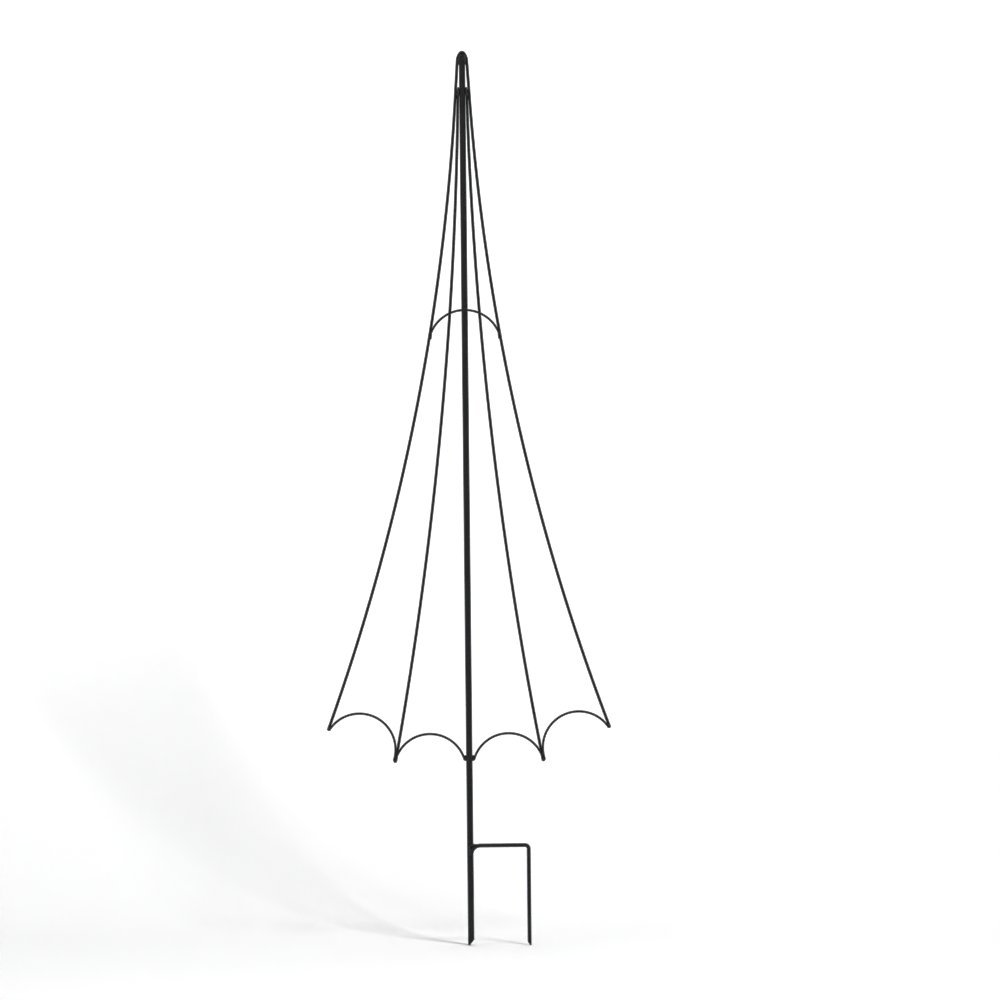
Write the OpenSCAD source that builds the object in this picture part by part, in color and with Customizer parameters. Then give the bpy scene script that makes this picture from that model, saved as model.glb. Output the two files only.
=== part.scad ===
// Flat umbrella-shaped plant support, welded from round steel rod.
// Frame: +Z up, +X right, -Y the front. The origin is on the post's axis at soil level.

/* [Overall] */
// Height from the spike tips to the top of the crown
total_h = 1500; // [1450:10:1560]
// Depth of the two spikes below soil level
spike_depth = 165; // [120:5:200]

/* [Rods] */
// Diameter of the central post
post_d = 10; // [9:0.5:11]
// Diameter of the rib rods
rib_d = 4.5; // [4:0.1:4.6]
// Diameter of the arch and scallop wires
wire_d = 3.5; // [3.3:0.1:3.7]
// Diameter of the step stake's rod
stake_d = 6; // [5:0.5:7]
// Slit between rods that lie against each other, bridged by the welds
slit = 0.1; // [0.05:0.05:0.2]

/* [Outer ribs] */
// Bend radius at the very top, on the rod's centreline
nose_r = 4.3; // [4:0.1:5]
// Bend radius of the crown's flanks, on the rod's centreline
flank_r = 24; // [22:0.2:28]
// Lean at which the nose bend hands over to the flank bend, in degrees from upright
flank_lean = 35.6; // [33:0.2:38]
// Lean of the straight neck of each leg, in degrees
neck_lean = 3.7; // [3.6:0.1:4]
// Height above soil where the neck ends and the long sweep starts
sweep_top = 1256; // [1240:2:1262]
// Radius of each leg's long sweep
sweep_r = 3750; // [3700:2:3900]
// Height above soil of the outer tips
outer_tip_z = 199; // [195:1:203]

/* [Inner ribs] */
// Height above soil of the inner ribs' top ends
inner_top = 1262; // [1258:1:1264]
// Lean of the inner ribs at their top ends, in degrees
inner_lean = 1.2; // [1.1:0.05:1.25]
// Radius of the inner ribs' sweep
inner_sweep_r = 6780; // [6700:10:6900]
// Height above soil of the inner tips
inner_tip_z = 144; // [141:1:147]

/* [Arch and scallops] */
// Radius of the brow arch
arch_r = 61.4; // [61:0.1:62]
// Angle from the arch's crown to each of its ends
arch_half = 77.4; // [75:0.2:78]
// Radius shared by the four scallops
scallop_r = 60.5; // [60:0.1:61]
// Distance of the outer scallops' centres from the post's axis
outer_hoop_x = 184; // [183.5:0.1:184.5]
// Height above soil of the outer scallops' centres
outer_hoop_z = 166; // [165.5:0.1:166.5]
// Distance of the inner scallops' centres from the post's axis
inner_hoop_x = 66; // [65.5:0.1:66.5]
// Height above soil of the inner scallops' centres
inner_hoop_z = 130; // [129:0.1:131]

/* [Step stake] */
// Distance of the stake's spike from the post's axis
stake_x = 98; // [90:1:110]
// Bend radius of the sharp corner, on the rod's centreline
corner_r = 6; // [5:0.5:8]
// Bend radius where the bar turns down at the post, on the rod's centreline
tail_r = 15; // [13:0.5:17]
// Offset of the tail from the post's axis
tail_x = 2; // [0:0.5:3]
// Straight length of the tail below its bend
tail_len = 2; // [1:0.5:6]

/* [Points] */
// Height of the post's slanted cut
post_cut = 9.5; // [8:0.5:14]
// Height of the stake's slanted cut
stake_cut = 6; // [5:0.5:8]
// Width of the blunt tip that each cut leaves
blunt = 2; // [1:0.1:2.5]

/* [Hidden] */

rod_fn = 32;
turn_fn = 96;
sweep_fn = 1440;
coat = "#222326";

post_r = post_d / 2;
rib_r = rib_d / 2;
wire_r = wire_d / 2;
stake_r = stake_d / 2;
top_z = total_h - spike_depth;
post_top_z = top_z - 8.5;

// Points and centres of bends are [x, z] pairs on the right-hand side.
// A rod's lean is its angle from straight down, turning towards +X.
function off(p, ang, d) = [p.x + d * cos(ang), p.y + d * sin(ang)];

// Outer leg, from the apex down
apex = [0, top_z - rib_r];
nose_c = [0, apex.y - nose_r];
nose_end = off(nose_c, flank_lean, nose_r);
flank_c = off(nose_end, flank_lean, -flank_r);
flank_end = off(flank_c, neck_lean, flank_r);
neck_len = (flank_end.y - sweep_top) / cos(neck_lean);
neck_end = off(flank_end, neck_lean - 90, neck_len);
sweep_c = off(neck_end, neck_lean, sweep_r);
tip_lean = asin(sin(neck_lean) + (sweep_top - outer_tip_z) / sweep_r);
outer_tip = off(sweep_c, 180 + tip_lean, sweep_r);
function leg_lean(z) = asin(sin(neck_lean) + (sweep_top - z) / sweep_r);
function leg_x(z) = z > sweep_top ? neck_end.x - (z - sweep_top) * tan(neck_lean)
                                  : sweep_c.x - sweep_r * cos(leg_lean(z));

// Inner rib, from its top end down
inner_top_p = [post_r + rib_r + slit, inner_top];
inner_c = off(inner_top_p, inner_lean, inner_sweep_r);
function inner_lean_at(z) = asin(sin(inner_lean) + (inner_top - z) / inner_sweep_r);
function inner_x(z) = inner_c.x - inner_sweep_r * cos(inner_lean_at(z));
inner_tip_lean = inner_lean_at(inner_tip_z);
inner_tip = off(inner_c, 180 + inner_tip_lean, inner_sweep_r);

// Wires lie against the front or the back of the ribs
lap = rib_r + wire_r + slit;
arch_end_x = arch_r * sin(arch_half);
arch_end = [arch_end_x, sweep_c.y - sweep_r * sin(acos((sweep_c.x - arch_end_x) / sweep_r))];
arch_z = arch_end.y - arch_r * cos(arch_half);
arch_top_z = arch_z + arch_r;
arch_tilt = asin((post_r - rib_r) / (arch_top_z - arch_end.y));
function arch_over(x) = arch_z + sqrt(pow(arch_r, 2) - pow(x, 2));
function crossing(x, tries) = tries == 0 ? x : crossing(inner_x(arch_over(x)), tries - 1);
cross_x = crossing(0, 6);
cross_z = arch_over(cross_x);
cross_y = -lap - (cross_z - arch_end.y) * sin(arch_tilt);
outer_end_in = 180 + asin((outer_hoop_z - inner_tip_z - 3) / scallop_r);
outer_end_out = acos((outer_tip.x - 1.5 - outer_hoop_x) / scallop_r);
inner_end_out = asin((inner_tip_z + 2.5 - inner_hoop_z) / scallop_r);
inner_end_in = 180 - asin((inner_tip_z + 2 - inner_hoop_z) / scallop_r);

// Step stake
stake_y = -sqrt(pow(post_r + stake_r + slit, 2) - pow(tail_x, 2));
bar_z = stake_r;
tail_end_z = bar_z - tail_r - tail_len;

// Puts its children at p, with local -Z the way the rod runs and local +X its outward side
module from(p, lean) {
    translate([p.x, 0, p.y])
        rotate([0, -lean, 0])
            children();
}

// A straight length of rod; its children go at the far end
module run(len, r) {
    translate([0, 0, -len]) {
        cylinder(h = len, r = r, $fn = rod_fn);
        children();
    }
}

// A round sweep of centreline radius big_r, outwards for side 1 and inwards for side -1
module sweep(side, big_r, turn, r, fn = turn_fn) {
    translate([side * big_r, 0, 0])
        rotate([side * 90, 0, 0])
            rotate([0, 0, side > 0 ? 180 : 0])
                rotate_extrude(angle = turn, $fn = fn)
                    translate([big_r, 0])
                        circle(r = r, $fn = rod_fn);
}

// A bend with more rod after it: its children go at the far end
module bend(side, big_r, turn, r) {
    translate([side * big_r, 0, 0]) {
        rotate([90, 0, 0])
            rotate([0, 0, side > 0 ? 180 : -turn])
                rotate_extrude(angle = turn, $fn = turn_fn)
                    translate([big_r, 0])
                        circle(r = r, $fn = rod_fn);
        rotate([0, -side * turn, 0])
            translate([-side * big_r, 0, 0])
                children();
    }
}

// A hoop of wire of radius big_r round centre c, from angle a0 to a1, from +X towards +Z
module hoop(c, big_r, a0, a1) {
    translate([c.x, 0, c.y])
        rotate([90, 0, 0])
            rotate([0, 0, a0])
                rotate_extrude(angle = a1 - a0, $fn = turn_fn)
                    translate([big_r, 0])
                        circle(r = wire_r, $fn = rod_fn);
}

// A bead of weld metal with round ends, from p to q
module bead(p, q, r) {
    run = q - p;
    len = norm(run);
    translate(p)
        rotate([0, acos(run.z / len), atan2(run.y, run.x)])
            rotate_extrude($fn = rod_fn)
                intersection() {
                    translate([0, -r])
                        square([r, len + 2 * r]);
                    union() {
                        circle(r = r, $fn = rod_fn);
                        translate([0, len])
                            circle(r = r, $fn = rod_fn);
                        square([r, len]);
                    }
                }
}

// The same shape on both sides of the post
module both_sides() {
    children();
    mirror([1, 0, 0])
        children();
}

// What a slanted cut takes off a rod's foot: everything below a line that falls from the
// full side to the blunt tip
module cut_wedge(r, cut) {
    far = 3 * r;
    rise = cut / (2 * r - blunt);
    rotate([90, 0, 0])
        linear_extrude(height = far, center = true)
            polygon([[-r + blunt, 0], [far, (far + r - blunt) * rise], [far, -far], [-r + blunt, -far]]);
}

module post_bar() {
    difference() {
        union() {
            translate([0, 0, -spike_depth])
                cylinder(h = post_top_z + spike_depth - post_r, r = post_r, $fn = turn_fn);
            translate([0, 0, post_top_z - post_r])
                sphere(r = post_r, $fn = turn_fn);
        }
        translate([0, 0, -spike_depth])
            cut_wedge(post_r, post_cut);
    }
}

// One leg. A short link laps the two bends at its top and is a hair thicker than the rod
module leg() {
    link = 1.2;
    from(apex, 90)
        sweep(-1, nose_r, 90 - flank_lean, rib_r);
    from(nose_end, flank_lean) {
        translate([0, 0, -link / 2])
            cylinder(h = link, r = rib_r + 0.05, $fn = rod_fn);
        translate([0, 0, -link / 12])
            bend(-1, flank_r, flank_lean - neck_lean, rib_r)
                run(neck_len, rib_r)
                    sweep(1, sweep_r, tip_lean - neck_lean, rib_r, sweep_fn);
    }
}

module rib_frame() {
    both_sides()
        leg();
}

module inner_rib() {
    from(inner_top_p, inner_lean)
        sweep(1, inner_sweep_r, inner_tip_lean - inner_lean, rib_r, sweep_fn);
}

// Short straight lengths that stand for a rib where a weld fits against it
module at_arch_end() {
    from([leg_x(arch_end.y), arch_end.y], leg_lean(arch_end.y))
        children();
}

module inner_rib_at(z) {
    from(off([inner_x(z), z], 90 + inner_lean_at(z), 15), inner_lean_at(z))
        run(30, rib_r);
}

module leg_foot() {
    from(off(outer_tip, 90 + tip_lean, 20), tip_lean)
        run(20, rib_r);
}

module inner_rib_foot() {
    from(off(inner_tip, 90 + inner_tip_lean, 20), inner_tip_lean)
        run(20, rib_r);
}

module arch_wire() {
    translate([0, -lap, arch_end.y])
        rotate([arch_tilt, 0, 0])
            hoop([0, arch_z - arch_end.y], arch_r, 90 - arch_half, 90 + arch_half);
}

module outer_scallop() {
    translate([0, -lap, 0])
        hoop([outer_hoop_x, outer_hoop_z], scallop_r, outer_end_out, outer_end_in);
}

module inner_scallop() {
    translate([0, lap, 0])
        hoop([inner_hoop_x, inner_hoop_z], scallop_r, inner_end_out, inner_end_in);
}

module stake_rod() {
    bar_len = stake_x - tail_x - tail_r - corner_r;
    leg_len = spike_depth + bar_z - corner_r;
    difference() {
        translate([0, stake_y, 0])
            from([tail_x, tail_end_z], 180)
                run(tail_len, stake_r)
                    bend(-1, tail_r, 90, stake_r)
                        run(bar_len, stake_r)
                            bend(-1, corner_r, 90, stake_r)
                                run(leg_len, stake_r);
        translate([stake_x, stake_y, -spike_depth])
            mirror([1, 0, 0])
                cut_wedge(stake_r, stake_cut);
    }
}

module center_post() {
    color(coat)
        post_bar();
}

module outer_rib_frame() {
    color(coat)
        rib_frame();
}

module inner_rib_left() {
    color(coat)
        mirror([1, 0, 0])
            inner_rib();
}

module inner_rib_right() {
    color(coat)
        inner_rib();
}

module brow_arch() {
    color(coat)
        arch_wire();
}

module scallop_outer_left() {
    color(coat)
        mirror([1, 0, 0])
            outer_scallop();
}

module scallop_inner_left() {
    color(coat)
        mirror([1, 0, 0])
            inner_scallop();
}

module scallop_inner_right() {
    color(coat)
        inner_scallop();
}

module scallop_outer_right() {
    color(coat)
        outer_scallop();
}

module step_stake() {
    color(coat)
        stake_rod();
}

// Plugs the space between the post's round top and the bend over it
module crown_weld() {
    in = rib_r + 0.05;
    flank_side = [for (a = [16:6.5:flank_lean]) off(flank_c, a, flank_r - in)];
    nose_side = [for (a = [flank_lean + 4:12:80]) off(nose_c, a, nose_r - in)];
    half = concat(flank_side, nose_side);
    other = [for (i = [len(half) - 1:-1:0]) [-half[i].x, half[i].y]];
    color(coat)
        difference() {
            rotate([90, 0, 0])
                linear_extrude(height = 1.5 * rib_r, center = true)
                    polygon(concat(half, other));
            post_bar();
        }
}

// One thick bead between post and leg, round the inner rib's top end
module collar_weld() {
    mid_x = post_r + rib_r;
    difference() {
        bead([mid_x, 0, inner_top - 1], [mid_x - 0.4, 0, inner_top + 10], 3.2);
        post_bar();
        from(neck_end, neck_lean)
            translate([0, 0, -20])
                cylinder(h = 50, r = rib_r, $fn = rod_fn);
        from(inner_top_p, inner_lean)
            run(20, rib_r);
    }
}

module collar_weld_left() {
    color(coat)
        mirror([1, 0, 0])
            collar_weld();
}

module collar_weld_right() {
    color(coat)
        collar_weld();
}

// Beads above and below the arch where it crosses the post's front
module arch_post_weld() {
    side = 1.8;
    y = -post_r - 0.6;
    color(coat)
        difference() {
            union()
                for (z = [arch_top_z - wire_r - 0.6, arch_top_z + wire_r + 0.6])
                    bead([-side, y, z], [side, y, z], 1.5);
            post_bar();
            arch_wire();
        }
}

// Tacks that bridge from each inner rib's front to the arch
module arch_inner_rib_welds() {
    z = cross_z - 0.4;
    color(coat)
        both_sides()
            difference() {
                bead([cross_x, -rib_r, z], [cross_x, cross_y + 1.2, z], 2.2);
                inner_rib_at(cross_z);
                arch_wire();
            }
}

// Beads along the inner side of each leg where the arch's ends lie on it
module arch_outer_rib_welds() {
    color(coat)
        both_sides()
            difference() {
                at_arch_end()
                    bead([-2.4, -2, 1], [-2.4, -2, 8], 1.6);
                at_arch_end()
                    translate([0, 0, -15])
                        cylinder(h = 30, r = rib_r, $fn = rod_fn);
                arch_wire();
            }
}

// Nuggets that close the outer tips
module outer_tip_welds() {
    x = outer_tip.x - 1.2;
    z = outer_tip_z + 1;
    color(coat)
        both_sides()
            difference() {
                bead([x, -lap + 0.2, z], [x, -0.2, z], 2.6);
                leg_foot();
                outer_scallop();
            }
}

// Nuggets that close the inner tips, where a wire lies on each face of the rib
module inner_tip_welds() {
    x = inner_tip.x;
    y = lap - 0.6;
    z = inner_tip_z + 2;
    color(coat)
        both_sides()
            difference() {
                bead([x + 1.4, -y, z], [x - 0.2, y, z], 2.7);
                inner_rib_foot();
                outer_scallop();
                inner_scallop();
            }
}

// Beads between the inner scallops' ends and the post
module scallop_post_welds() {
    low = inner_tip_z + 2.5;
    color(coat)
        both_sides()
            difference() {
                bead([post_r + 1, lap - 0.8, low], [post_r + 1.6, lap - 0.6, low + 6], 2.3);
                post_bar();
                inner_scallop();
            }
}

// Infill over the stake's bend at the post, and beads down both sides of its tail
module stake_weld() {
    bead_y = -post_r - 0.4;
    pad_top = 2 * stake_r - 0.4;
    pad = [[1, -4], [post_r + 9, bar_z], [post_r + 6, pad_top], [1, pad_top]];
    color(coat)
        difference() {
            union() {
                translate([0, stake_y, 0])
                    rotate([90, 0, 0])
                        linear_extrude(height = 4.4, center = true)
                            polygon(pad);
                bead([tail_x - 3.4, bead_y, tail_end_z + 2], [tail_x - 2.6, bead_y, bar_z - 4], 1.7);
                bead([post_r - 0.3, bead_y + 0.4, bar_z - 7], [post_r + 1.2, bead_y, bar_z + 1], 2.1);
            }
            post_bar();
            stake_rod();
        }
}

center_post();
outer_rib_frame();
inner_rib_left();
inner_rib_right();
brow_arch();
scallop_outer_left();
scallop_inner_left();
scallop_inner_right();
scallop_outer_right();
step_stake();
crown_weld();
collar_weld_left();
collar_weld_right();
arch_post_weld();
arch_inner_rib_welds();
arch_outer_rib_welds();
outer_tip_welds();
inner_tip_welds();
scallop_post_welds();
stake_weld();
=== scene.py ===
# Looks for the flat umbrella-shaped plant support: smooth bent rods, lumpy welds and a satin
# black powder coat. Shapes are in millimetres in the CAD frame; MM turns them into metres.
from math import acos, asin, cos, pi, radians, sin, sqrt, tan

import bmesh
import bpy
from mathutils import Matrix, Vector, noise


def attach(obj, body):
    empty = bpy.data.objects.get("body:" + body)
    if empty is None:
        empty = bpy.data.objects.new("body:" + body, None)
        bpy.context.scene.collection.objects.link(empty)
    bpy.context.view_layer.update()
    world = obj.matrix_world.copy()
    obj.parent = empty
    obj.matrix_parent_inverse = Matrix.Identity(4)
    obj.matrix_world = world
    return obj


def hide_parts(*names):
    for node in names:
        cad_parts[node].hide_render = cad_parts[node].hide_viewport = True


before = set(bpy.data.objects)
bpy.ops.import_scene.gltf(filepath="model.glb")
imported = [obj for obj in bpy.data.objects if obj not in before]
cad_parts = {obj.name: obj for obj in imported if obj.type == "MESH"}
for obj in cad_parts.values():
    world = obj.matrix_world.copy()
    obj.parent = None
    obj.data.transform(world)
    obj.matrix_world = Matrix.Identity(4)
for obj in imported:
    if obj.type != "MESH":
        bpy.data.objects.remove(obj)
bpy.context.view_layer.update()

MM = 0.001
POST_R, RIB_R, WIRE_R, STAKE_R = 5.0, 2.25, 1.75, 3.0
SLIT = 0.1  # between rods that lie against each other
LAP = RIB_R + WIRE_R + SLIT  # from a rib's axis to the axis of a wire that lies on it
TOP_Z, FOOT_Z = 1335.0, -165.0
POST_TOP_Z = TOP_Z - 8.5
POST_CUT, STAKE_CUT = 9.5, 6.0  # heights of the slanted cuts at the feet
BLUNT = 2.0  # width of the tip that each cut leaves


# ---------------------------------------------------------------- the rods' centrelines
# Points are (x, z) on the right-hand side; a lean is the angle from straight down.
def off(p, ang, d):
    """The point at distance d from p, in the direction ang."""
    return (p[0] + d * cos(ang), p[1] + d * sin(ang))


def arc(c, r, a0, a1, n):
    """n + 1 points round the centre c, from angle a0 to a1."""
    return [off(c, a0 + (a1 - a0) * i / n, r) for i in range(n + 1)]


# Outer ribs: a small bend over the top, a flank bend, a straight neck and a long sweep
NOSE_R, FLANK_R, SWEEP_R = 4.3, 24.0, 3750.0
FLANK_LEAN, NECK_LEAN = radians(35.6), radians(3.7)
SWEEP_TOP, OUTER_TIP_Z = 1256.0, 199.0
nose_c = (0.0, TOP_Z - RIB_R - NOSE_R)
nose_end = off(nose_c, FLANK_LEAN, NOSE_R)
flank_c = off(nose_end, FLANK_LEAN, -FLANK_R)
flank_end = off(flank_c, NECK_LEAN, FLANK_R)
neck_end = (flank_end[0] + (flank_end[1] - SWEEP_TOP) * tan(NECK_LEAN), SWEEP_TOP)
sweep_c = off(neck_end, NECK_LEAN, SWEEP_R)


def leg_lean(z):
    return asin(sin(NECK_LEAN) + (SWEEP_TOP - z) / SWEEP_R)


def leg_x(z):
    return sweep_c[0] - SWEEP_R * cos(leg_lean(z))


outer_tip_x = leg_x(OUTER_TIP_Z)

# Inner ribs: one sweep from the collar down
INNER_TOP, INNER_TIP_Z = 1262.0, 144.0
INNER_LEAN, INNER_SWEEP_R = radians(1.2), 6780.0
inner_c = off((POST_R + RIB_R + SLIT, INNER_TOP), INNER_LEAN, INNER_SWEEP_R)


def inner_lean(z):
    return asin(sin(INNER_LEAN) + (INNER_TOP - z) / INNER_SWEEP_R)


def inner_x(z):
    return inner_c[0] - INNER_SWEEP_R * cos(inner_lean(z))


inner_tip_x = inner_x(INNER_TIP_Z)

# Arch: its ends lie on the outer ribs, and it leans forwards to pass in front of the post
ARCH_R, ARCH_HALF = 61.4, radians(77.4)
arch_end_x = ARCH_R * sin(ARCH_HALF)
arch_end_z = sweep_c[1] - SWEEP_R * sin(acos((sweep_c[0] - arch_end_x) / SWEEP_R))
arch_z = arch_end_z - ARCH_R * cos(ARCH_HALF)
arch_top_z = arch_z + ARCH_R
arch_tilt = asin((POST_R - RIB_R) / (arch_top_z - arch_end_z))


def arch_point(a):
    """A point on the arch's centreline, a radians from its crown."""
    up = ARCH_R * cos(a) - ARCH_R * cos(ARCH_HALF)
    return (ARCH_R * sin(a), -LAP - up * sin(arch_tilt), arch_end_z + up * cos(arch_tilt))


# Scallops: arcs round two centres to each side, from the outer end to the inner one
SCALLOP_R = 60.5
OUTER_HOOP, INNER_HOOP = (184.0, 166.0), (66.0, 130.0)
OUTER_END_X = outer_tip_x - 1.5  # where the outer scallops end at the outer tips
OUTER_END_Z = INNER_TIP_Z + 3  # where they end at the inner tips
INNER_END_Z = INNER_TIP_Z + 2.5  # where the inner scallops end at the inner tips
POST_END_Z = INNER_TIP_Z + 2  # where they end at the post
outer_hoop_out = acos((OUTER_END_X - OUTER_HOOP[0]) / SCALLOP_R)
outer_hoop_in = pi + asin((OUTER_HOOP[1] - OUTER_END_Z) / SCALLOP_R)
inner_hoop_out = asin((INNER_END_Z - INNER_HOOP[1]) / SCALLOP_R)
inner_hoop_in = pi - asin((POST_END_Z - INNER_HOOP[1]) / SCALLOP_R)

# Step stake: a tail on the front of the post, a bar and a second leg
STAKE_X, CORNER_R = 98.0, 6.0
TAIL_R, TAIL_X, TAIL_LEN = 15.0, 2.0, 2.0
BAR_Z = STAKE_R
stake_y = -sqrt((POST_R + STAKE_R + SLIT) ** 2 - TAIL_X ** 2)
tail_end_z = BAR_Z - TAIL_R - TAIL_LEN


def flat(points, y=0.0):
    return [(x, y, z) for x, z in points]


def between(p, q, n):
    """n points in even steps from p to q, without p itself."""
    return [tuple(a + (b - a) * (i / n) for a, b in zip(p, q)) for i in range(1, n + 1)]


def mirrored(points):
    return [(-x, y, z) for x, y, z in points]


# ---------------------------------------------------------------- the powder coat
def add(owner, kind, **values):
    """Adds a shader node to a material or a world. Each value goes to the input of that name,
    or else to the node itself."""
    node = owner.node_tree.nodes.new(kind)
    for key, value in values.items():
        if key in node.inputs:
            node.inputs[key].default_value = value
        else:
            setattr(node, key, value)
    return node


def times(mat, a, b):
    """The product of an output and another output or a number."""
    node = add(mat, "ShaderNodeMath", operation="MULTIPLY")
    mat.node_tree.links.new(a, node.inputs[0])
    if isinstance(b, bpy.types.NodeSocket):
        mat.node_tree.links.new(b, node.inputs[1])
    else:
        node.inputs[1].default_value = b
    return node.outputs[0]


# Dust and dried soil: a thin film of specks below DUST_TOP (metres), full at the feet
DUST_TOP = 0.06
DUST_STRENGTH = 0.10
DUST_COLOUR = (0.10, 0.085, 0.07, 1)


def powder_coat(name, tone, rough, shine, peel, peel_size, lumps):
    """Satin black powder coat: fine orange peel, a slow drift in tone and gloss, and dust."""
    mat = bpy.data.materials.new(name)
    mat.use_nodes = True
    mat.node_tree.nodes.clear()
    link = mat.node_tree.links.new
    out = add(mat, "ShaderNodeOutputMaterial")
    shader = add(mat, "ShaderNodeBsdfPrincipled")
    link(shader.outputs[0], out.inputs[0])
    where = add(mat, "ShaderNodeTexCoord").outputs["Object"]

    def cloud(scale, detail, roughness=0.55):
        n = add(mat, "ShaderNodeTexNoise", Scale=scale, Detail=detail, Roughness=roughness)
        link(where, n.inputs["Vector"])
        return n.outputs["Fac"]

    def ramp(source, low, low_colour, high, high_colour):
        n = add(mat, "ShaderNodeValToRGB")
        link(source, n.inputs[0])
        stops = ((low, low_colour), (high, high_colour))
        for stop, (position, colour) in zip(n.color_ramp.elements, stops):
            stop.position = position
            stop.color = (*colour, 1)
        return n.outputs[0]

    # A slow drift in tone under a fine grain. A colour mix has its factor at input 0, its
    # colours at 6 and 7, and its result at output 2.
    darker = tuple(c * 0.72 for c in tone)
    paler = tuple(c * 1.3 for c in tone)
    body = add(mat, "ShaderNodeMix", data_type="RGBA", blend_type="MULTIPLY")
    body.inputs[0].default_value = 0.6
    link(ramp(cloud(14, 3), 0.3, darker, 0.7, paler), body.inputs[6])
    link(ramp(cloud(900, 2), 0.35, (0.85,) * 3, 0.7, (1.12,) * 3), body.inputs[7])

    # The dust
    height = add(mat, "ShaderNodeSeparateXYZ")
    link(where, height.inputs[0])
    near_ground = add(mat, "ShaderNodeMapRange")
    near_ground.inputs["From Min"].default_value = DUST_TOP
    near_ground.inputs["From Max"].default_value = FOOT_Z * MM
    link(height.outputs["Z"], near_ground.inputs["Value"])
    specks = ramp(cloud(260, 5, 0.7), 0.52, (0, 0, 0), 0.72, (1, 1, 1))
    dusty = add(mat, "ShaderNodeMix", data_type="RGBA")
    film = times(mat, near_ground.outputs[0], specks)
    link(times(mat, film, DUST_STRENGTH), dusty.inputs[0])
    link(body.outputs[2], dusty.inputs[6])
    dusty.inputs[7].default_value = DUST_COLOUR
    link(dusty.outputs[2], shader.inputs["Base Color"])

    # Uneven gloss
    gloss = add(mat, "ShaderNodeMapRange")
    gloss.inputs["To Min"].default_value = rough - 0.06
    gloss.inputs["To Max"].default_value = rough + 0.08
    link(cloud(45, 4), gloss.inputs["Value"])
    link(gloss.outputs[0], shader.inputs["Roughness"])
    shader.inputs["IOR"].default_value = 1.45
    shader.inputs["Specular IOR Level"].default_value = shine

    # Orange peel over broader lumps
    fine = add(mat, "ShaderNodeBump", Strength=peel, Distance=0.00006)
    link(cloud(peel_size, 2, 0.5), fine.inputs["Height"])
    coarse = add(mat, "ShaderNodeBump", Strength=lumps, Distance=0.0004)
    link(cloud(170, 3, 0.5), coarse.inputs["Height"])
    link(fine.outputs[0], coarse.inputs["Normal"])
    link(coarse.outputs[0], shader.inputs["Normal"])
    return mat


coat = powder_coat("powder_coat_rod", (0.0085, 0.0090, 0.0100), 0.44, 0.18, 0.5, 1100, 0.06)
weld_coat = powder_coat("powder_coat_weld", (0.0100, 0.0104, 0.0108), 0.42, 0.36, 0.6, 800, 0.35)


# ---------------------------------------------------------------- meshes
def finish_mesh(name, bm, node, material, sharp=radians(50)):
    """Turns bm into the piece that replaces a CAD node, smooth but for edges over sharp."""
    bmesh.ops.recalc_face_normals(bm, faces=bm.faces)
    mesh = bpy.data.meshes.new(name)
    bm.to_mesh(mesh)
    bm.free()
    mesh.shade_smooth()
    mesh.set_sharp_from_angle(angle=sharp)
    mesh.materials.append(material)
    obj = bpy.data.objects.new(name, mesh)
    bpy.context.scene.collection.objects.link(obj)
    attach(obj, "root")
    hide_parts(node)


def skin(bm, rings):
    """Joins each ring of vertices to the next one."""
    sides = len(rings[0])
    for r0, r1 in zip(rings, rings[1:]):
        for k in range(sides):
            j = (k + 1) % sides
            bm.faces.new((r0[k], r0[j], r1[j], r1[k]))


def swept(path, binormal, r, sides, ease):
    """A round rod along path, with its square ends eased by a small radius. The binormal is
    square to the plane that the path bends in."""
    points = [Vector(p) * MM for p in path]
    binormal = Vector(binormal).normalized()
    r *= MM
    ease *= MM
    last = len(points) - 1
    tangents = [
        (points[min(i + 1, last)] - points[max(i - 1, 0)]).normalized() for i in range(last + 1)
    ]
    # the eased edge is a quarter circle: how far along the rod, and how far in from its side
    edge = [(1 - sin(a), 1 - cos(a)) for a in (0.0, pi / 6, pi / 3, pi / 2)]
    stations = [
        (points[0] + tangents[0] * ease * along, tangents[0], r - ease * inwards)
        for along, inwards in reversed(edge)
    ]
    stations += [(p, t, r) for p, t in zip(points[1:-1], tangents[1:-1])]
    stations += [
        (points[last] - tangents[last] * ease * along, tangents[last], r - ease * inwards)
        for along, inwards in edge
    ]
    bm = bmesh.new()
    turn = [2 * pi * k / sides for k in range(sides)]
    rings = []
    for p, t, radius in stations:
        side = binormal.cross(t).normalized()
        up = t.cross(side).normalized()
        rings.append([bm.verts.new(p + radius * (cos(a) * side + sin(a) * up)) for a in turn])
    skin(bm, rings)
    for ring in (rings[0], rings[-1]):
        bm.faces.new(ring)
    return bm


def rod(name, path, binormal, r, node, sides=20):
    bm = swept(path, binormal, r, sides, ease=0.45)
    finish_mesh(name, bm, node, coat)


def cut_foot(bm, point, normal, ease):
    """Cuts everything on the normal's side off a rod's foot and eases the new edge."""
    geom = bm.verts[:] + bm.edges[:] + bm.faces[:]
    bmesh.ops.bisect_plane(
        bm, geom=geom, dist=1e-7, plane_co=point * MM, plane_no=normal.normalized(),
        clear_outer=True,
    )
    rim = [e for e in bm.edges if len(e.link_faces) == 1]
    faces = bmesh.ops.edgeloop_fill(bm, edges=rim)["faces"]
    edges = list({e for f in faces for e in f.edges})
    bmesh.ops.bevel(
        bm, geom=edges, offset=ease * MM, segments=3, profile=0.6, affect="EDGES",
        clamp_overlap=True,
    )


RIPPLE = 0.8  # from one ripple of a bead to the next
VOXEL = 0.22  # of the remesh that melts the ripples together
LUMP = 0.14  # height of the lumps on the finished weld
noise.seed_set(1)  # noise_vector takes its offsets from this seed


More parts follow.
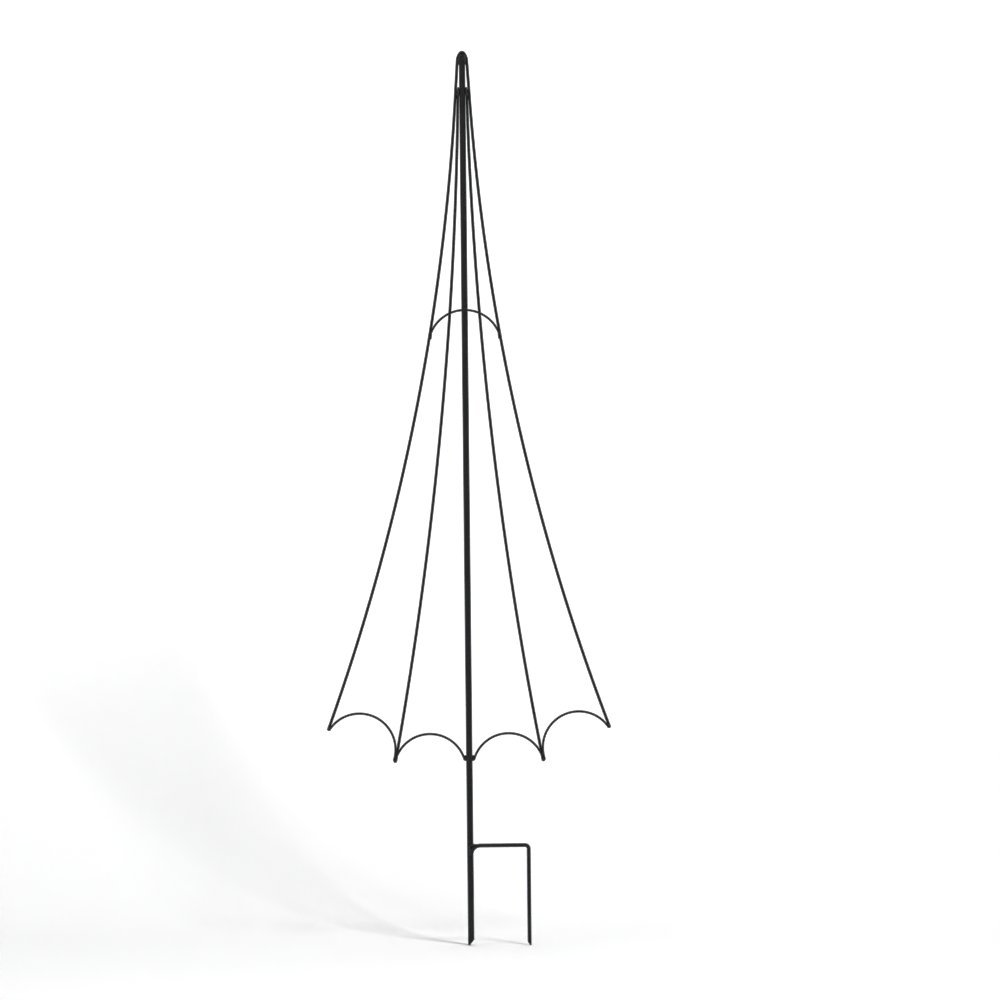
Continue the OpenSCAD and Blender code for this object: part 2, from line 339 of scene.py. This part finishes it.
def weld(name, beads, node, seed):
    """Weld metal: stacked ripples along each bead, melted together. A bead is two points and
    a radius at each end."""
    bm = bmesh.new()
    for p, q, r0, r1 in beads:
        p, q = Vector(p), Vector(q)
        count = max(2, int((q - p).length / RIPPLE) + 1)
        for i in range(count):
            # every other ripple is thicker, and each is a little off in size and place
            s = i / (count - 1)
            wave = 1 + 0.07 * (i % 2) + 0.05 * noise.noise(Vector((i * 0.9, seed, 0.3)))
            radius = (r0 + (r1 - r0) * s) * wave
            jitter = noise.noise_vector(Vector((i * 1.3, seed * 2.1, 0.7))) * 0.12
            place = Matrix.Translation((p.lerp(q, s) + jitter) * MM)
            place = place @ Matrix.Scale(radius * MM, 4)
            bmesh.ops.create_icosphere(bm, subdivisions=3, radius=1.0, matrix=place)
    mesh = bpy.data.meshes.new(name + "_raw")
    bm.to_mesh(mesh)
    bm.free()
    raw = bpy.data.objects.new(name + "_raw", mesh)
    bpy.context.scene.collection.objects.link(raw)
    melt = raw.modifiers.new("melt", "REMESH")
    melt.mode = "VOXEL"
    melt.voxel_size = VOXEL * MM
    settle = raw.modifiers.new("settle", "SMOOTH")
    settle.factor = 0.5
    settle.iterations = 4
    bpy.context.view_layer.update()
    graph = bpy.context.evaluated_depsgraph_get()
    done = bpy.data.meshes.new_from_object(raw.evaluated_get(graph))
    bpy.data.objects.remove(raw)
    out = bmesh.new()
    out.from_mesh(done)
    bpy.data.meshes.remove(done)
    out.normal_update()
    for v in out.verts:
        p = v.co / MM
        lump = noise.noise(p * 0.55 + Vector((seed, 0, 0)))
        lump += 0.5 * noise.noise(p * 1.5 + Vector((0, seed, 0)))
        v.co += v.normal * lump * LUMP * MM
    finish_mesh(name, out, node, weld_coat, sharp=pi)


def other_side(beads):
    return [(*mirrored((p, q)), r0, r1) for p, q, r0, r1 in beads]


def both(beads):
    return beads + other_side(beads)


# ---------------------------------------------------------------- the rods
IN_PLANE = (0, 1, 0)  # the binormal of a path that bends in the frame's own plane

# One rod over the top, from tip to tip
half = arc(nose_c, NOSE_R, pi / 2, FLANK_LEAN, 14)
half += arc(flank_c, FLANK_R, FLANK_LEAN, NECK_LEAN, 12)[1:]
half += between(flank_end, neck_end, 6)
half += arc(sweep_c, SWEEP_R, pi + NECK_LEAN, pi + leg_lean(OUTER_TIP_Z), 96)[1:]
right = flat(half)
over_top = mirrored(right)[:0:-1] + right
rod("outer_rib_rod", over_top, IN_PLANE, RIB_R, "outer_rib_frame", sides=24)

inner = flat(arc(inner_c, INNER_SWEEP_R, pi + INNER_LEAN, pi + inner_lean(INNER_TIP_Z), 90))
rod("inner_rib_rod_right", inner, IN_PLANE, RIB_R, "inner_rib_right", sides=24)
rod("inner_rib_rod_left", mirrored(inner), IN_PLANE, RIB_R, "inner_rib_left", sides=24)

arch = [arch_point(ARCH_HALF * (i / 30 - 1)) for i in range(61)]
rod("brow_arch_wire", arch, (0, cos(arch_tilt), sin(arch_tilt)), WIRE_R, "brow_arch")

outer_hoop = flat(arc(OUTER_HOOP, SCALLOP_R, outer_hoop_out, outer_hoop_in, 56), -LAP)
rod("scallop_outer_wire_right", outer_hoop, IN_PLANE, WIRE_R, "scallop_outer_right")
rod("scallop_outer_wire_left", mirrored(outer_hoop), IN_PLANE, WIRE_R, "scallop_outer_left")
inner_hoop = flat(arc(INNER_HOOP, SCALLOP_R, inner_hoop_out, inner_hoop_in, 56), LAP)
rod("scallop_inner_wire_right", inner_hoop, IN_PLANE, WIRE_R, "scallop_inner_right")
rod("scallop_inner_wire_left", mirrored(inner_hoop), IN_PLANE, WIRE_R, "scallop_inner_left")


POINT_SHARP = radians(35)  # keeps the edges of the slanted cuts crisp


def post():
    """The post: a turned round top, and a slanted point at the foot."""
    sides = 48
    dome_z = POST_TOP_Z - POST_R
    profile = [(FOOT_Z + (dome_z - FOOT_Z) * i / 60, POST_R) for i in range(61)]
    dome = [radians(a) for a in range(8, 89, 8)]
    profile += [(dome_z + POST_R * sin(a), POST_R * cos(a)) for a in dome]
    bm = bmesh.new()
    turn = [2 * pi * k / sides for k in range(sides)]
    rings = []
    for z, r in profile:
        rings.append([bm.verts.new(Vector((r * cos(a), r * sin(a), z)) * MM) for a in turn])
    skin(bm, rings)
    top = bm.verts.new(Vector((0, 0, POST_TOP_Z)) * MM)
    for k in range(sides):
        bm.faces.new((rings[-1][k], rings[-1][(k + 1) % sides], top))
    bm.faces.new(rings[0])
    slope = POST_CUT / (2 * POST_R - BLUNT)
    cut_foot(bm, Vector((BLUNT - POST_R, 0, FOOT_Z)), Vector((slope, 0, -1)), ease=1.2)
    finish_mesh("center_post_rod", bm, "center_post", coat, sharp=POINT_SHARP)


def stake():
    """The step stake: a bar bent down at the post, a sharp corner, and a pointed leg."""
    bend_end = TAIL_X + TAIL_R
    bar_end = STAKE_X - CORNER_R
    leg_top = BAR_Z - CORNER_R
    path = [(TAIL_X, tail_end_z), (TAIL_X, tail_end_z + 1.0)]
    path += arc((bend_end, BAR_Z - TAIL_R), TAIL_R, pi, pi / 2, 18)
    path += between((bend_end, BAR_Z), (bar_end, BAR_Z), 8)[:-1]
    path += arc((bar_end, leg_top), CORNER_R, pi / 2, 0, 14)
    path += between((STAKE_X, leg_top), (STAKE_X, FOOT_Z), 16)
    # a hair thinner than the CAD rod, so that rounding can't put it outside the CAD box
    bm = swept(flat(path, stake_y), IN_PLANE, STAKE_R - 0.01, sides=28, ease=0.35)
    bmesh.ops.recalc_face_normals(bm, faces=bm.faces)
    slope = STAKE_CUT / (2 * STAKE_R - BLUNT)
    point = Vector((STAKE_X + STAKE_R - BLUNT, stake_y, FOOT_Z))
    cut_foot(bm, point, Vector((-slope, 0, -1)), ease=0.8)
    finish_mesh("step_stake_rod", bm, "step_stake", coat, sharp=POINT_SHARP)


post()
stake()

# ---------------------------------------------------------------- the welds
# Crown: metal fills the hairpin above the post and runs down both corners, front and back
crown = []
for side in (-1, 1):
    for y in (-1, 1):
        low = (side * 5.3, y * 2.3, TOP_Z - 22)
        middle = (side * 5.0, y * 2.5, TOP_Z - 14)
        high = (side * 3.4, y * 1.6, TOP_Z - 7.4)
        crown += [(low, middle, 1.5, 1.9), (middle, high, 1.9, 1.8)]
crown.append(((-2.4, 0, TOP_Z - 7.6), (2.4, 0, TOP_Z - 7.6), 2.0, 2.0))
crown.append(((0, -0.5, TOP_Z - 6.4), (0, 0.5, TOP_Z - 6.2), 1.9, 1.9))
weld("crown_weld_metal", crown, "crown_weld", 1.0)

# Collar: a thick bead between post and leg on the inner rib's top end
collar = []
for y in (-1, 1):
    middle = (6.9, y * 1.3, INNER_TOP + 4)
    collar.append(((7.1, y * 1.3, INNER_TOP - 2.5), middle, 1.9, 2.3))
    collar.append((middle, (6.7, y * 1.1, INNER_TOP + 11), 2.2, 1.6))
weld("collar_weld_metal_right", collar, "collar_weld_right", 2.0)
weld("collar_weld_metal_left", other_side(collar), "collar_weld_left", 3.0)

# Arch to post: a bead above the wire and one below
y = -POST_R - 0.6
beads = [
    ((-1.9, y, arch_top_z + d), (1.9, y, arch_top_z + d), 1.25, 1.25) for d in (-2.35, 2.25)
]
weld("arch_post_weld_metal", beads, "arch_post_weld", 4.0)

# Arch to inner ribs: a short bridge where they cross, which a few rounds are enough to find
cross_x = 0.0
for _ in range(6):
    cross_x = inner_x(arch_z + sqrt(ARCH_R ** 2 - cross_x ** 2))
_, cross_y, cross_z = arch_point(asin(cross_x / ARCH_R))
z = cross_z - 0.4
bridge = both([((cross_x, -1.9, z), (cross_x, cross_y + 0.9, z), 2.1, 2.0)])
weld("arch_inner_rib_weld_metal", bridge, "arch_inner_rib_welds", 5.0)


def beside_leg(up, out, y):
    """A point up the leg from the arch's end and out from the leg's axis."""
    lean = leg_lean(arch_end_z)
    p = off((leg_x(arch_end_z), arch_end_z), lean, out)
    p = off(p, pi / 2 + lean, up)
    return (p[0], y, p[1])


# Arch to outer ribs: a bead down the inner side of each leg
beads = both([(beside_leg(1, -2.3, -2.1), beside_leg(8, -2.1, -1.9), 1.5, 1.3)])
weld("arch_outer_rib_weld_metal", beads, "arch_outer_rib_welds", 6.0)

# Tips: a nugget round each bundle of ends
x, z = outer_tip_x - 1.2, OUTER_TIP_Z + 1.0
beads = [
    ((x, -LAP + 0.3, z + 1.2), (x + 0.4, -0.4, z), 2.0, 2.2),
    ((x - 0.6, -LAP + 1.6, z + 1.5), (x - 3.6, -LAP + 2.2, z + 5.0), 2.0, 1.2),
]
weld("outer_tip_weld_metal", both(beads), "outer_tip_welds", 7.0)
x, z = inner_tip_x - 0.4, INNER_TIP_Z + 2.0
beads = [
    ((x + 1.1, -LAP + 0.9, z - 0.6), (x + 0.3, LAP - 0.9, z - 0.6), 2.1, 2.1),
    ((x + 2.0, -LAP + 1.5, z + 0.5), (x + 1.4, -LAP + 1.9, z + 8), 2.0, 1.2),
    ((x - 0.3, LAP - 1.5, z + 0.5), (x - 2.0, LAP - 1.9, z + 7), 2.0, 1.2),
]
weld("inner_tip_weld_metal", both(beads), "inner_tip_welds", 8.0)

# Inner scallops to the post
z = POST_END_Z + 0.5
beads = both([((5.9, LAP - 0.8, z), (6.5, LAP - 0.7, z + 6), 2.0, 1.8)])
weld("scallop_post_weld_metal", beads, "scallop_post_welds", 9.0)

# Stake to post: a bead down each side of its tail, and infill on top of the bend
y = -POST_R - 0.3
infill = (6.4, stake_y, BAR_Z + 0.9)
beads = [
    ((TAIL_X - 3.2, y, tail_end_z + 1.5), (TAIL_X - 2.4, y, BAR_Z - 3), 1.45, 1.7),
    ((POST_R - 0.2, y + 0.3, BAR_Z - 7), (POST_R + 1.2, y, BAR_Z + 1), 1.7, 1.9),
    ((2.6, stake_y + 0.4, BAR_Z + 0.4), infill, 1.9, 1.6),
    (infill, (11.5, stake_y, BAR_Z + 0.9), 1.6, 1.5),
]
weld("stake_weld_metal", beads, "stake_weld", 10.0)

# ---------------------------------------------------------------- floor, light and camera
# From here on, lengths are in metres.
FADE_START, FADE_END = 1.3, 2.4  # distances from the origin over which the backdrop fades


def backdrop_material():
    """A matt pale surface that is clear from behind and fades into the white beyond it, so
    that it neither hides the object nor shows its own edge."""
    mat = bpy.data.materials.new("pale_floor")
    mat.use_nodes = True
    link = mat.node_tree.links.new
    shader = mat.node_tree.nodes["Principled BSDF"]
    shader.inputs["Base Color"].default_value = (0.9, 0.9, 0.9, 1)
    shader.inputs["Roughness"].default_value = 0.9
    shader.inputs["Specular IOR Level"].default_value = 0.1
    side = add(mat, "ShaderNodeNewGeometry")
    distance = add(mat, "ShaderNodeVectorMath", operation="LENGTH")
    link(side.outputs["Position"], distance.inputs[0])
    fade = add(mat, "ShaderNodeMapRange", interpolation_type="SMOOTHSTEP")
    fade.inputs["From Min"].default_value = FADE_START
    fade.inputs["From Max"].default_value = FADE_END
    link(distance.outputs["Value"], fade.inputs["Value"])
    rays = add(mat, "ShaderNodeLightPath")
    either = add(mat, "ShaderNodeMath", operation="MAXIMUM")
    link(times(mat, fade.outputs[0], rays.outputs["Is Camera Ray"]), either.inputs[0])
    link(side.outputs["Backfacing"], either.inputs[1])
    clear = add(mat, "ShaderNodeBsdfTransparent")
    blend = add(mat, "ShaderNodeMixShader")
    link(either.outputs[0], blend.inputs[0])
    link(shader.outputs[0], blend.inputs[1])
    link(clear.outputs[0], blend.inputs[2])
    link(blend.outputs[0], mat.node_tree.nodes["Material Output"].inputs[0])
    return mat


def sweep_floor():
    """A pale floor that curves up into a wall behind the object."""
    reach, bend_start, bend_r, wall_top = 6.0, 0.15, 1.3, 4.0
    line = [(-reach, 0.0), (bend_start, 0.0)]
    bend = [radians(4 * i) for i in range(1, 23)]
    line += [(bend_start + bend_r * sin(a), bend_r * (1 - cos(a))) for a in bend]
    line.append((bend_start + bend_r, wall_top))
    bm = bmesh.new()
    floor_z = FOOT_Z * MM
    rows = [[bm.verts.new((x, y, floor_z + z)) for x in (-reach, reach)] for y, z in line]
    for a, b in zip(rows, rows[1:]):
        bm.faces.new((a[0], a[1], b[1], b[0]))
    mesh = bpy.data.meshes.new("floor")
    bm.to_mesh(mesh)
    bm.free()
    mesh.shade_smooth()
    mesh.materials.append(backdrop_material())
    obj = bpy.data.objects.new("floor", mesh)
    bpy.context.scene.collection.objects.link(obj)


def area_light(name, place, aim, size, power):
    """A square light that points at aim."""
    light = bpy.data.lights.new(name, "AREA")
    light.size = size
    light.energy = power
    obj = bpy.data.objects.new(name, light)
    obj.location = place
    obj.rotation_euler = (Vector(aim) - Vector(place)).to_track_quat("-Z", "Y").to_euler()
    bpy.context.scene.collection.objects.link(obj)


sweep_floor()
area_light("key", (2.6, -4.4, 5.4), (0, 0, 0.3), 1.2, 282)
area_light("fill", (-4.5, -4.0, 2.4), (0, 0, 0.6), 3.5, 86)

# The world lights the object softly, and is white where the camera sees it
WORLD_LIGHT, WORLD_SEEN = 0.5, 1.1
world = bpy.data.worlds.new("studio")
world.use_nodes = True
sky = world.node_tree.nodes["Background"]
sky.inputs["Color"].default_value = (1, 1, 1, 1)
rays = add(world, "ShaderNodeLightPath")
level = add(world, "ShaderNodeMapRange")
level.inputs["To Min"].default_value = WORLD_LIGHT
level.inputs["To Max"].default_value = WORLD_SEEN
world.node_tree.links.new(rays.outputs["Is Camera Ray"], level.inputs["Value"])
world.node_tree.links.new(level.outputs[0], sky.inputs["Strength"])
scene = bpy.context.scene
scene.world = world

# The tone curve darkens the middle tones, which keeps thin dark rods dark against the white
tones = scene.view_settings
tones.view_transform = "Standard"
tones.use_curve_mapping = True
combined = tones.curve_mapping.curves[3]
combined.points.new(0.06, 0.05)
combined.points.new(0.5, 0.27)
tones.curve_mapping.update()

# The camera looks slightly down from the front, with a small roll; the picture is VIEW_WIDTH
# wide at the object
DISTANCE, VIEW_WIDTH = 14.0, 1.6765
LIFT, ROLL = radians(2), radians(-0.6)
aim = Vector((0.056, 0, 0.5825))
cam = bpy.data.cameras.new("camera")
cam.sensor_width = 36
cam.lens = cam.sensor_width * DISTANCE / VIEW_WIDTH
cam.clip_end = 60
eye = bpy.data.objects.new("camera", cam)
place = aim + DISTANCE * Vector((0, -cos(LIFT), sin(LIFT)))
look = (aim - place).to_track_quat("-Z", "Y").to_matrix().to_4x4()
eye.matrix_world = Matrix.Translation(place) @ look @ Matrix.Rotation(ROLL, 4, "Z")
scene.collection.objects.link(eye)
scene.camera = eye
